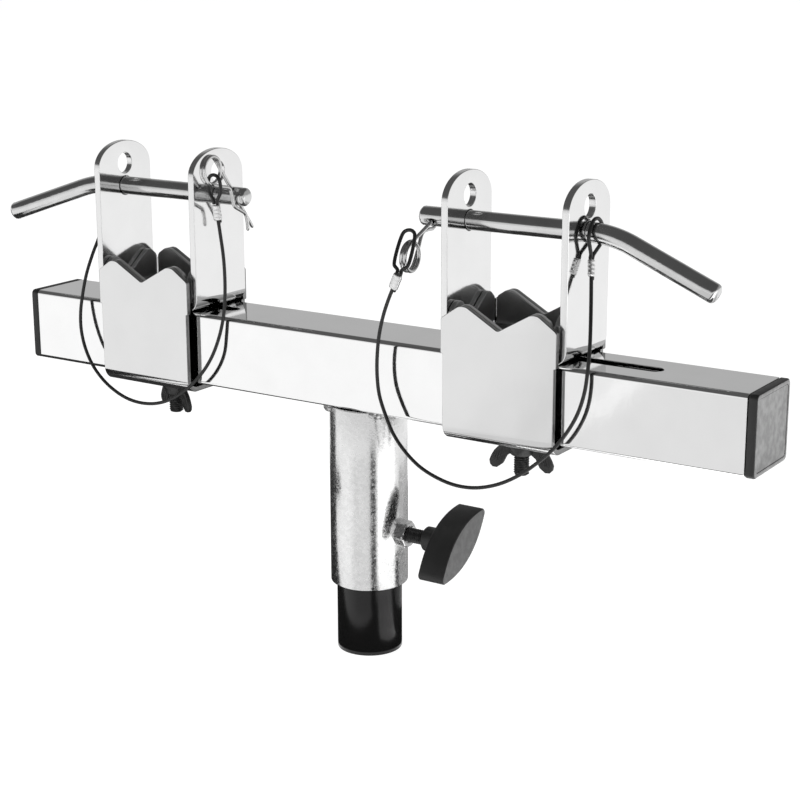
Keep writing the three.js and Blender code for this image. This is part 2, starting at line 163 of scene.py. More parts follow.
OBJECT_MIDDLE = (0, 0, 0.15)
soft_box("key_light", 18, 0.9, 0.5, (-1.3, -0.5, 1.9), OBJECT_MIDDLE)
soft_box("right_light", 8, 0.4, 0.9, (1.8, 0.6, 1.0), OBJECT_MIDDLE)


# Cards on the floor, seen only in reflections: painted reflections. Dark cards paint shade on the
# undersides of the pins and bends and dark upright bands in the round socket; glowing cards,
# which are no lamps, paint the socket's bright and grey upright bands.
CARD_HEIGHT = 0.002


def painted_reflection_card(name, level, rim, glow=0.0):
    mesh = bpy.data.meshes.new(name)
    mesh.from_pydata([(x, y, CARD_HEIGHT) for x, y in rim], [], [tuple(range(len(rim)))])
    card = bpy.data.objects.new(name, mesh)
    bpy.context.collection.objects.link(card)
    finish = bpy.data.materials.new(name)
    finish.use_nodes = True
    shader = finish.node_tree.nodes["Principled BSDF"]
    shader.inputs["Base Color"].default_value = (*grey(level), 1)
    shader.inputs["Specular IOR Level"].default_value = 0.0
    shader.inputs["Emission Color"].default_value = (1, 1, 1, 1)
    shader.inputs["Emission Strength"].default_value = glow
    mesh.materials.append(finish)
    card.visible_camera = card.visible_diffuse = card.visible_shadow = False


def wedge(heading, half_angle, near, far):
    """Rim of a floor strip that runs outwards; heading is in degrees from -Y towards +X."""
    sides = [math.radians(heading - half_angle), math.radians(heading + half_angle)]
    spots = [(near, sides[0]), (far, sides[0]), (far, sides[1]), (near, sides[1])]
    return [(r * math.sin(a), -r * math.cos(a)) for r, a in spots]


# Painted shade: these two dark cards darken the undersides of the pins and bends.
painted_reflection_card("under_shade_card", 0.05, [(-0.36, -0.035), (0.1, -0.035), (0.1, 0.3), (-0.36, 0.3)])
painted_reflection_card("pin_shade_card", 0.05, [(-0.44, -0.22), (-0.27, -0.22), (-0.27, -0.04), (-0.44, -0.04)])
# Painted dark upright bands in the round socket.
painted_reflection_card("front_card", 0.03, wedge(46, 8, 0.05, 3))
painted_reflection_card("side_card", 0.1, wedge(-96, 20, 0.12, 3))
# Painted highlights: glowing cards, which are no lamps, paint the socket's bright and grey bands.
painted_reflection_card("painted_highlight_card", 0.3, wedge(86, 26, 0.026, 3), glow=1.7)
painted_reflection_card("rear_card", 0.3, wedge(158, 30, 0.06, 0.55), glow=0.4)
for heading, half_angle, glow in [(-19, 2, 0.88), (-15, 2, 0.8), (13, 24.5, 0.72)]:
    painted_reflection_card(f"grey_card_{heading}", 0.3, wedge(heading, half_angle, 0.05, 1.5), glow)

# ---- Stand pole -----------------------------------------------------------------------
# The top of the stand's 35 mm steel pole, under the socket. It is powder coated in satin
# black and cut square, and its bore is open.

MM = 0.001


def box_mm(node):
    low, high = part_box(node)
    return np.array(low) / MM, np.array(high) / MM


def skin(rings, joined=False):
    """A closed surface over a row of rings, each of as many points."""
    count, faces = len(rings[0]), []
    rows = list(range(len(rings)))
    for a, b in zip(rows, rows[1:] + rows[:1]) if joined else zip(rows, rows[1:]):
        for j in range(count):
            k = (j + 1) % count
            faces.append((a * count + j, a * count + k, b * count + k, b * count + j))
    if not joined:
        faces.append(tuple(range(count)))
        faces.append(tuple(rows[-1] * count + j for j in range(count)))
    return np.concatenate(rings), faces


def turned(profile, joined=False, sides=64):
    """A lathe shape about Z from its (radius, height) pairs."""
    turn = np.linspace(0, math.tau, sides, endpoint=False)
    return skin([np.stack([r * np.cos(turn), r * np.sin(turn), np.full(sides, float(z))], 1)
                 for r, z in profile], joined)


def pipe(outer, inner, low, high, ease=0.4, sides=96):
    """A round tube with eased rims."""
    return turned([(inner, low + ease), (inner + ease, low), (outer - ease, low),
                   (outer - ease * 0.3, low + ease * 0.3), (outer, low + ease),
                   (outer, high - ease), (outer - ease * 0.3, high - ease * 0.3),
                   (outer - ease, high), (inner + ease, high), (inner, high - ease)],
                  joined=True, sides=sides)


def moved(solid, offset=(0, 0, 0), turn=None):
    points = solid[0] if turn is None else solid[0] @ np.array(turn.to_matrix()).T
    return points + np.array(offset), solid[1]


def together(*solids):
    points, faces, base = [], [], 0
    for solid in solids:
        points.append(solid[0])
        faces += [tuple(i + base for i in face) for face in solid[1]]
        base += len(solid[0])
    return np.concatenate(points), faces


def piece(name, solid, body, finishes, stands_for, crease=32, pick=None):
    """Makes a part from a solid in mm. pick gives a face's finish from its centre and normal."""
    work = bmesh.new()
    corners = [work.verts.new(p) for p in solid[0]]
    for face in solid[1]:
        work.faces.new([corners[i] for i in face])
    bmesh.ops.remove_doubles(work, verts=work.verts, dist=1e-4)
    bmesh.ops.dissolve_degenerate(work, edges=work.edges, dist=1e-5)
    bmesh.ops.recalc_face_normals(work, faces=work.faces)
    return from_work(name, work, body, finishes, stands_for, crease, pick)


def from_work(name, work, body, finishes, stands_for, crease=32, pick=None):
    for face in work.faces:
        face.smooth = True
        if pick:
            face.material_index = pick(face.calc_center_median(), face.normal)
    mesh = bpy.data.meshes.new(name)
    for v in work.verts:
        v.co *= MM
    work.to_mesh(mesh)
    work.free()
    if crease:
        mesh.set_sharp_from_angle(angle=math.radians(crease))
    for finish in finishes if isinstance(finishes, list) else [finishes]:
        mesh.materials.append(finish)
    obj = bpy.data.objects.new(name, mesh)
    bpy.context.collection.objects.link(obj)
    if body:
        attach(obj, body)
    if stands_for:
        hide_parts(*([stands_for] if isinstance(stands_for, str) else stands_for))
    return obj


def new_finish(name, colour, **fixed):
    """A Principled material with these fixed values; also its shader and a place wire."""
    finish = bpy.data.materials.new(name)
    finish.use_nodes = True
    shader = finish.node_tree.nodes["Principled BSDF"]
    shader.inputs["Base Color"].default_value = (*colour, 1)
    for key, value in fixed.items():
        shader.inputs[key.replace("_", " ").title().replace("Ior", "IOR")].default_value = value
    where = Wire(finish.node_tree).node("TexCoord", {}, {}, out="Object")
    finish.diffuse_color = (*colour, 1)
    return finish, shader, where


def grain(where, size, detail=2.0, stretch=None):
    """Cloudy noise whose lumps are about size metres across, from 0 to 1."""
    if stretch:
        where = where.node("Mapping", {}, {"Vector": where, "Scale": stretch})
    return where.node("TexNoise", {}, {"Vector": where, "Scale": 1 / size, "Detail": detail})


def wire_in(shader, socket, wire):
    wire.tree.links.new(wire.socket, shader.inputs[socket])


def roughen(shader, height, depth):
    """Raises the surface by this height, 0 to 1, times depth in metres."""
    bump = height.node("Bump", {}, {"Height": height, "Distance": depth, "Strength": 1.0})
    wire_in(shader, "Normal", bump)


pole_paint, shader, where = new_finish("pole_paint", grey(0.012), Roughness=0.36,
                                       Specular_IOR_Level=0.34)
peel = grain(where, 0.0016, 3)
wire_in(shader, "Roughness", 0.16 + grain(where, 0.02, 4) * 0.1)
wire_in(shader, "Base Color", grain(where, 0.03, 3).blend(grey(0.004), grey(0.01)))
roughen(shader, peel, 0.00003)

POLE_WALL = 2
low, high = box_mm("stand_tube")
piece("stand_pole", pipe(high[0], high[0] - POLE_WALL, low[2], high[2], 0.35), "stand",
      pole_paint, "stand_tube")

# ---- Socket and its welds -------------------------------------------------------------
# A length of galvanised steel tube that slips over the pole, welded under the bar. The
# zinc shows its crystals, and each weld is a short run of overlapping ripples.

zinc, shader, where = new_finish("zinc", grey(0.66), Metallic=1.0, Roughness=0.2)
crystals = where.node("TexVoronoi", {"feature": "F1"},
                      {"Vector": where, "Scale": 650.0, "Randomness": 1.0}, out="Color")
crystal = where.node("SeparateColor", {}, {0: crystals}, out="Red")
cloud = grain(where, 0.012, 4)
pits = grain(where, 0.0012, 3).step(0.52, 0.72)
wire_in(shader, "Base Color", (cloud * 0.5 + crystal * 0.35 + pits * 0.2).blend(
    grey(0.62), grey(0.88)))
wire_in(shader, "Roughness", 0.12 + crystal * 0.1 + pits * 0.12 + cloud * 0.05)
roughen(shader, crystal * 0.25 + grain(where, 0.0022, 3), 0.000035)

BORE_R = 18.1
low, high = box_mm("socket_tube")
SOCKET_R, SOCKET_TOP = high[0], high[2]
piece("socket", pipe(SOCKET_R, BORE_R, low[2], high[2], 0.5, 128), "adapter", zinc,
      "socket_tube")

weld, shader, where = new_finish("weld", grey(0.5), Metallic=1.0, Roughness=0.34)
wire_in(shader, "Base Color", grain(where, 0.0025, 4).step(0.35, 0.65).blend(
    grey(0.16), grey(0.72)))
wire_in(shader, "Roughness", 0.26 + grain(where, 0.0016, 3) * 0.25)
roughen(shader, grain(where, 0.0011, 4), 0.00018)


def swept(points, radii, sides, section=None):
    """A skin round a path; section gives (across, up) at a turn and a station's number."""
    path = np.array(points, float)
    along = np.gradient(path, axis=0)
    along /= np.linalg.norm(along, axis=1)[:, None]
    side = np.cross(along[0], (0, 0, 1) if abs(along[0][2]) < 0.9 else (0, 1, 0))
    turn, rings = np.linspace(0, math.tau, sides, endpoint=False), []
    for i, centre in enumerate(path):
        side = side - along[i] * side.dot(along[i])
        side /= np.linalg.norm(side)
        up = np.cross(along[i], side)
        a, b = section(turn, i) if section else (np.cos(turn), np.sin(turn))
        rings.append(centre + radii[i] * (np.outer(a, side) + np.outer(b, up)))
    return skin(rings)


WELD_R, WELD_RIPPLES = 2.5, 7


def weld_run(start, end):
    """A run of weld round the socket between two headings, in degrees from -Y towards +X."""
    count = 60
    heading = np.radians(np.linspace(start, end, count))
    ring = SOCKET_R + 0.5
    path = np.stack([ring * np.sin(heading), -ring * np.cos(heading),
                     np.full(count, SOCKET_TOP - 1.2)], 1)
    travel = np.linspace(0, 1, count)
    ripple = np.abs(np.sin(travel * math.pi * WELD_RIPPLES))
    swell = np.clip(np.sin(travel * math.pi), 0, 1) ** 0.35 * (0.84 + 0.16 * ripple)
    return swept(path, WELD_R * swell + 0.05, 20)


for side, sign in (("left", -1), ("right", 1)):
    front, back = weld_run(sign * 34, sign * 68), weld_run(sign * 112, sign * 146)
    piece(f"weld_{side}", together(front, back), "adapter", weld, f"weld_bead_{side}",
          crease=60)

# ---- Clamping screw: nut, screw and knob ----------------------------------------------
# A zinc plated hexagon nut is fixed to the socket. A black screw runs through it, and a
# moulded black wing turns the screw against the pole.

THREAD_PITCH, THREAD_DEPTH = 1.25, 0.55


def threaded(radius, low, high, blank_from=None, sides=40, ease=0.9):
    """A screw about Z with a real helical thread; above blank_from it is plain."""
    heights = np.arange(low, high + 0.01, 0.2)
    turn = np.linspace(0, math.tau, sides, endpoint=False)
    rings = []
    for z in heights:
        phase = np.mod(z / THREAD_PITCH - turn / math.tau, 1.0)
        groove = np.clip(1.25 * (1 - np.abs(2 * phase - 1)) - 0.12, 0, 1)
        if blank_from is not None:
            groove = groove * np.clip((blank_from - z) / 1.2, 0, 1)
        r = radius - THREAD_DEPTH * groove
        r = r - max(0.0, ease - (z - low)) - max(0.0, ease * 0.5 - (high - z))
        rings.append(np.stack([r * np.cos(turn), r * np.sin(turn), np.full(sides, z)], 1))
    return skin(rings)


def hexagon_nut(corner, low, high, chamfer=1.0, sides=96):
    """A nut about Z, its corners turned down to a chamfer circle at both faces."""
    turn = np.linspace(0, math.tau, sides, endpoint=False) + math.pi / 2
    flat = corner * math.cos(math.pi / 6)
    edge = flat / np.cos(np.mod(turn - math.pi / 2, math.pi / 3) - math.pi / 6)
    rings = []
    for z, limit in ((low, flat - 0.3), (low + chamfer * 0.35, flat + 0.35),
                     (low + chamfer, corner + 0.1), (high - chamfer, corner + 0.1),
                     (high - chamfer * 0.35, flat + 0.35), (high, flat - 0.3),
                     (high, 5.0), (high - 0.8, 4.1)):
        r = np.minimum(edge, limit)
        rings.append(np.stack([r * np.cos(turn), r * np.sin(turn), np.full(sides, z)], 1))
    return skin(rings)


TO_X = Quaternion((0, 1, 0), math.pi / 2)
low, high = box_mm("clamp_screw")
SCREW_Z = (low[2] + high[2]) / 2
nut_low, nut_high = box_mm("clamp_nut")
CORNER_R = (nut_high[2] - nut_low[2]) / 2
piece("clamp_nut_hex", moved(hexagon_nut(CORNER_R, SOCKET_R - 1.2, nut_high[0]),
                             (0, 0, SCREW_Z), TO_X),
      "adapter", zinc, "clamp_nut", crease=25)

black_steel, shader, where = new_finish("black_steel", grey(0.02), Metallic=0.55,
                                        Roughness=0.35)
wire_in(shader, "Base Color", grain(where, 0.002, 4).blend(grey(0.012), grey(0.06)))
wire_in(shader, "Roughness", 0.26 + grain(where, 0.0009, 3) * 0.3)
roughen(shader, grain(where, 0.0007, 3), 0.00005)

piece("clamp_screw_thread", moved(threaded(high[2] - SCREW_Z, low[0], high[0]),
                                  (0, 0, SCREW_Z), TO_X),
      "knob", black_steel, "clamp_screw", crease=50)

black_plastic, shader, where = new_finish("black_plastic", grey(0.014), Roughness=0.48,
                                          Specular_IOR_Level=0.5)
mould = grain(where, 0.00055, 2)
wire_in(shader, "Base Color", grain(where, 0.014, 4).blend(grey(0.010), grey(0.022)))
wire_in(shader, "Roughness", 0.4 + grain(where, 0.006, 4) * 0.18)
roughen(shader, mould, 0.00007)


def scuff_and_sheen(name, dark, light):
    """Black plastic made a paler grey, with a fine moulded texture: partly rubbed scuffs and
    partly a painted sheen, the floor's reflection painted into the colour.
    """
    finish, shader, where = new_finish(name, grey(light), Roughness=0.5)
    scuff = grain(where, 0.0035, 6)
    wire_in(shader, "Base Color", scuff.step(0.3, 0.75).blend(grey(dark), grey(light)))
    wire_in(shader, "Roughness", 0.42 + scuff * 0.2)
    roughen(shader, grain(where, 0.0006, 3), 0.00006)
    return finish


# End cap faces: rubbed scuffs plus a painted sheen, the floor's reflection painted into the
# colour.
scuff_and_sheen_plastic = scuff_and_sheen("scuff_and_sheen_plastic", 0.24, 0.38)
# The knob's outer face: a painted sheen, the floor's reflection painted into its colour.
knob_face_painted_sheen = scuff_and_sheen("knob_face_painted_sheen", 0.11, 0.16)


def eased_prism(outline, low, high, ease, steps=3):
    """A flat outline raised along Z, with rounded edges; the outline runs anticlockwise."""
    rim = np.array(outline, float)
    ahead, back = np.roll(rim, -1, 0) - rim, rim - np.roll(rim, 1, 0)
    ahead /= np.linalg.norm(ahead, axis=1)[:, None]
    back /= np.linalg.norm(back, axis=1)[:, None]
    inward = np.stack([-(ahead + back)[:, 1], (ahead + back)[:, 0]], 1)
    inward /= np.linalg.norm(inward, axis=1)[:, None]
    swing = np.linspace(0, math.pi / 2, steps + 1)
    rises = [(1 - math.sin(a), 1 - math.cos(a)) for a in swing]
    rings = [np.column_stack([rim + inward * ease * cut, np.full(len(rim), low + ease * rise)])
             for cut, rise in rises]
    rings += [np.column_stack([rim + inward * ease * cut, np.full(len(rim), high - ease * rise)])
              for cut, rise in reversed(rises)]
    return skin(rings)


def arc(centre, radius, start, end, steps):
    turn = np.linspace(start, end, steps)
    return [(centre[0] + radius * math.cos(a), centre[1] + radius * math.sin(a)) for a in turn]


WING_THICK, WING_HALF, WING_BELLY, WING_TIP = 15.5, 24.6, 9.7, 1.9
KNOB_TILT = math.radians(34.5)
low, high = box_mm("clamp_knob")
KNOB_FACE = high[0]
KNOB_BACK = KNOB_FACE - WING_THICK
curve_t = np.linspace(0, 1, 30)
belly = np.stack([WING_HALF * (2 * curve_t - 1),
                  WING_TIP + 4 * curve_t * (1 - curve_t) * (WING_BELLY - WING_TIP)], 1)
wing_end = [(WING_HALF + 0.55, -WING_TIP * 0.5), (WING_HALF + 0.7, 0),
            (WING_HALF + 0.55, WING_TIP * 0.5)]
half_lens = [(x, -y) for x, y in belly] + wing_end
wing = eased_prism(half_lens + [(-x, -y) for x, y in half_lens], KNOB_BACK, KNOB_FACE, 0.9, 4)
UPRIGHT = Quaternion((1, 0, 0), KNOB_TILT) @ Quaternion((0.5, 0.5, 0.5, 0.5))
hub = turned([(4.4, low[0] + 0.6), (5.0, low[0]), (6.0, low[0]), (6.6, low[0] + 0.6),
              (6.6, KNOB_BACK - 2.2), (7.4, KNOB_BACK + 0.3), (7.4, KNOB_BACK + 3),
              (4.4, KNOB_BACK + 3)], joined=True)
# The face turned to +X takes the painted sheen; the rest of the knob is plain black.
piece("clamp_knob_wing", together(moved(wing, (0, 0, SCREW_Z), UPRIGHT),
                                  moved(hub, (0, 0, SCREW_Z), TO_X)),
      "knob", [black_plastic, knob_face_painted_sheen], "clamp_knob", crease=40,
      pick=lambda centre, normal: int(centre.x > KNOB_FACE - 0.05 and normal.x > 0.9))

# ---- Crossbar -------------------------------------------------------------------------
# Square steel tube, 40 mm with 2 mm walls, plated in bright chrome. A round-ended slot
# runs through its top and bottom walls on each side of the socket.


def chromed(name, dark, light, dull):
    """Bright plating over drawn or rolled steel, faintly waved, with rubbed smears."""
    finish, shader, where = new_finish(name, grey(light), Metallic=1.0, Roughness=dull)
    wire_in(shader, "Base Color", grain(where, 0.02, 5).blend(grey(dark), grey(light)))
    wire_in(shader, "Roughness", dull + grain(where, 0.03, 5) * 0.05)
    roughen(shader, grain(where, 0.045, 1) + grain(where, 0.0035, 2) * 0.03, 0.0004)
    return finish


chrome = chromed("chrome", 0.8, 0.88, 0.045)
saddle_chrome = chromed("saddle_chrome", 0.64, 0.7, 0.08)
plate_chrome = chromed("plate_chrome", 0.72, 0.8, 0.06)
rolled_edge = chromed("rolled_edge", 0.7, 0.78, 0.16)

cut_edge, shader, where = new_finish("cut_edge", grey(0.4), Metallic=1.0, Roughness=0.3)
drag = grain(where, 0.0014, 4)
wire_in(shader, "Base Color", drag.blend(grey(0.16), grey(0.36)))
wire_in(shader, "Roughness", 0.22 + drag * 0.2)
roughen(shader, drag, 0.00008)

BAR_LOW, BAR_HIGH = box_mm("crossbar")
BAR_Z = (BAR_LOW[2] + BAR_HIGH[2]) / 2
BAR_HALF = (BAR_HIGH[2] - BAR_LOW[2]) / 2
WALL, CORNER, EDGE_ROUND = 2.0, 2.4, 0.25
SLOT_R, SLOT_NEAR, SLOT_FAR = 4.5, 87.5, 168


def rounded_square(half, radius, steps=8):
    """The rim of a square with round corners, in (y, z) about the bar's axis."""
    rim = []
    for quarter, (sy, sz) in enumerate(((1, 1), (-1, 1), (-1, -1), (1, -1))):
        start = quarter * math.pi / 2
        rim += arc((sy * (half - radius), sz * (half - radius)), radius, start,
                   start + math.pi / 2, steps)
    return np.array(rim)


def along_x(stations, steps=8):
    """Rings of rounded squares at (x, half size, corner radius)."""
    return [np.column_stack([np.full(4 * steps, x), rounded_square(half, radius, steps)
                             + (0, BAR_Z)]) for x, half, radius in stations]


bar_solid = skin(along_x([
    (BAR_LOW[0] + 0.3, BAR_HALF - WALL, 0.8), (BAR_LOW[0], BAR_HALF - WALL + 0.3, 1.0),
    (BAR_LOW[0], BAR_HALF - 0.3, 2.2), (BAR_LOW[0] + 0.3, BAR_HALF, CORNER),
    (BAR_HIGH[0] - 0.3, BAR_HALF, CORNER), (BAR_HIGH[0], BAR_HALF - 0.3, 2.2),
    (BAR_HIGH[0], BAR_HALF - WALL + 0.3, 1.0), (BAR_HIGH[0] - 0.3, BAR_HALF - WALL, 0.8)]),
    joined=True)
crossbar = piece("crossbar_tube", bar_solid, "adapter", [chrome, cut_edge], "crossbar",
                 crease=0)


def cut_away(obj, solid):
    """Takes a solid, in mm, out of a part, as a drill or a punch does."""
    mesh = bpy.data.meshes.new("cutter")
    mesh.from_pydata([tuple(p) for p in solid[0] * MM], [], solid[1])
    cutter = bpy.data.objects.new("cutter", mesh)
    bpy.context.collection.objects.link(cutter)
    cutting = obj.modifiers.new("cut", "BOOLEAN")
    cutting.object, cutting.solver, cutting.operation = cutter, "EXACT", "DIFFERENCE"
    bpy.context.view_layer.update()
    shaped = bpy.data.meshes.new_from_object(
        obj.evaluated_get(bpy.context.evaluated_depsgraph_get()))
    obj.modifiers.clear()
    obj.data = shaped
    bpy.data.objects.remove(cutter)


BAR_MIDDLE = (BAR_LOW[0] + BAR_HIGH[0]) / 2
for sign in (-1, 1):
    ends = sorted((BAR_MIDDLE + sign * SLOT_NEAR, BAR_MIDDLE + sign * SLOT_FAR))
    rim = (arc((ends[1] - SLOT_R, 0), SLOT_R, -math.pi / 2, math.pi / 2, 14)
           + arc((ends[0] + SLOT_R, 0), SLOT_R, math.pi / 2, 1.5 * math.pi, 14))
    cut_away(crossbar, skin([np.column_stack([rim, np.full(len(rim), z)])
                             for z in (BAR_Z - 30, BAR_Z + 30)]))

bevel = crossbar.modifiers.new("eased", "BEVEL")
bevel.width, bevel.segments = EDGE_ROUND * MM, 2
bevel.limit_method, bevel.angle_limit = "ANGLE", math.radians(50)
crossbar.modifiers.new("even", "WEIGHTED_NORMAL").keep_sharp = False

# ---- End caps -------------------------------------------------------------------------
# Moulded plastic caps pushed into the tube's ends: a plug inside, a square flange outside,
# and an outer face that is grey, partly from rubbed scuffs and partly from a painted sheen.

PLUG_DEPTH = 12
for side, sign in (("left", -1), ("right", 1)):
    low, high = box_mm(f"cap_{side}")
    face, root = (high[0], BAR_HIGH[0]) if sign > 0 else (low[0], BAR_LOW[0])
    plug = BAR_HALF - WALL - 0.3
    profile = [
        (root - sign * PLUG_DEPTH, plug - 1.2, 1), (root - sign * 11, plug - 0.2, 1),
        (root - sign * 10, plug, 1), (root + sign * 0.3, plug, 1),
        (root + sign * 0.3, BAR_HALF - 0.7, 1.8), (root + sign * 0.5, BAR_HALF - 0.25, 2.1),
        (root + sign * 0.9, BAR_HALF, CORNER), (face - sign * 0.9, BAR_HALF, CORNER),
        (face - sign * 0.45, BAR_HALF - 0.15, CORNER), (face - sign * 0.15, BAR_HALF - 0.5, 2.3),
        (face, BAR_HALF - 1.1, 2.1), (face, BAR_HALF - 2.2, 1.9),
        (face - sign * 0.25, BAR_HALF - 2.6, 1.8), (face - sign * 0.25, 5.0, 1.0)]
    # The flat outer end face takes the paler finish: rubbed scuffs plus a painted sheen.
    piece(f"end_cap_{side}", skin(along_x(profile)), "adapter",
          [black_plastic, scuff_and_sheen_plastic], f"cap_{side}", crease=40,
          pick=lambda centre, normal, face=face: int(
              abs(normal.x) > 0.9 and abs(centre.x - face) < 0.5))

# ---- Cradles: saddle, crown and yoke --------------------------------------------------
# Each cradle is three folded steel pieces on the bar. The saddle is a strip bent up round
# the bar, the crown a cross-shaped blank folded up to four notched walls, and the yoke a
# channel whose two ears take the locking pin. Their cut edges are duller than the faces.

EASE = 0.35


def blank(outline, holes, thick):
    """A flat sheet with eased edges, in mm, its middle plane at height 0."""
    line = bpy.data.curves.new("blank", "CURVE")
    line.dimensions, line.fill_mode = "2D", "BOTH"
    line.extrude, line.bevel_depth = thick / 2 - EASE, EASE
    line.bevel_resolution, line.offset = 1, -EASE
    for rim in (outline, *holes):
        spline = line.splines.new("POLY")
        spline.points.add(len(rim) - 1)
        for point, (x, y) in zip(spline.points, rim):
            point.co = (x, y, 0, 1)
        spline.use_cyclic_u = True
    obj = bpy.data.objects.new("blank", line)
    bpy.context.collection.objects.link(obj)
    bpy.context.view_layer.update()
    mesh = bpy.data.meshes.new_from_object(
        obj.evaluated_get(bpy.context.evaluated_depsgraph_get()))
    bpy.data.objects.remove(obj)
    work = bmesh.new()
    work.from_mesh(mesh)
    bpy.data.meshes.remove(mesh)
    bmesh.ops.remove_doubles(work, verts=work.verts, dist=2e-3)
    return work


class Fold:
    """A strip bent up at both ends: flat to flat_half, then a bend, then an upright leg."""

    def __init__(self, inside, radius):
        self.flat, self.radius = inside - radius, radius
        self.arc = radius * math.pi / 2

    def flat_length(self, height):
        """Where a point of the leg, at this height over the floor, lies on the flat blank."""
        return self.flat + self.arc + height - self.radius

    def place(self, v, depth):
        side, v = math.copysign(1, v), abs(v)
        if v <= self.flat:
            return side * v, -depth
        reach = self.radius + depth
        if v < self.flat + self.arc:
            a = (v - self.flat) / self.radius
            return side * (self.flat + reach * math.sin(a)), self.radius - reach * math.cos(a)
        return side * (self.flat + reach), self.radius + v - self.flat - self.arc

    def lines(self, steps=12):
        return [s * (self.flat + self.arc * k / steps) for s in (-1, 1) for k in range(steps + 1)]


def folded(name, work, thick, lines, place, body, finishes, stands_for):
    """Scores the flat sheet along its bend lines, then folds it to shape."""
    bmesh.ops.recalc_face_normals(work, faces=work.faces)
    for face in work.faces:
        face.material_index = int(abs(face.normal.z) < 0.5)
    for axis, at in lines:
        normal = Vector((1, 0, 0) if axis == "x" else (0, 1, 0))
        bmesh.ops.bisect_plane(work, geom=work.verts[:] + work.edges[:] + work.faces[:],
                               dist=1e-4, plane_co=normal * at, plane_no=normal)
    for v in work.verts:
        v.co = place(v.co.x, v.co.y, thick / 2 - v.co.z)
    obj = from_work(name, work, body, finishes, stands_for, crease=0)
    obj.modifiers.new("even", "WEIGHTED_NORMAL").keep_sharp = False
    return obj


def circle(x, y, radius, steps=48):
    return arc((x, y), radius, 0, math.tau * (steps - 1) / steps, steps)


def notched(valley, hill_at, apex, radius, fall, reach_left, reach_right):
    """Top edge of a notched wall, from its right end to its left: (along, height) pairs."""
    rise = math.atan((apex - valley) / hill_at)
    scale = radius / math.sin(rise + fall)
    centre = (hill_at + scale * (math.cos(fall) - math.cos(rise)),
              apex - scale * (math.sin(rise) + math.sin(fall)))
    turn = np.linspace(-rise, fall, 14)
    flank = [(centre[0] + radius * math.sin(a), centre[1] + radius * math.cos(a)) for a in turn]
    root = 1.1
    dip = [(root * k / 4, valley + root * math.tan(rise) * (0.55 + 0.45 * (k / 4) ** 2))
           for k in (0, 2, 4)]
    right = dip[1:] + flank
    out = []
    for reach, sign in ((reach_right, 1), (reach_left, -1)):
        rim = list(right)
        last = rim[-1]
        rim.append((reach - 0.8, last[1] - (reach - 0.8 - last[0]) * math.tan(fall)))
        rim.append((reach, rim[-1][1] - 0.8 * math.tan(fall) - 0.9))
        out.append([(sign * x, z) for x, z in rim])
    return out[0][::-1] + [dip[0]] + out[1]


dark_chrome, shader, where = new_finish("dark_chrome", grey(0.3), Metallic=1.0, Roughness=0.2)
wire_in(shader, "Base Color", grain(where, 0.01, 5).blend(grey(0.38), grey(0.52)))
wire_in(shader, "Roughness", 0.3 + grain(where, 0.016, 4) * 0.16)
roughen(shader, grain(where, 0.02, 2), 0.0002)

light_edge, shader, where = new_finish("light_edge", grey(0.6), Metallic=1.0, Roughness=0.3)
wire_in(shader, "Base Color", grain(where, 0.0014, 4).blend(grey(0.42), grey(0.66)))
wire_in(shader, "Roughness", 0.22 + grain(where, 0.001, 3) * 0.2)
roughen(shader, grain(where, 0.0012, 3), 0.00007)

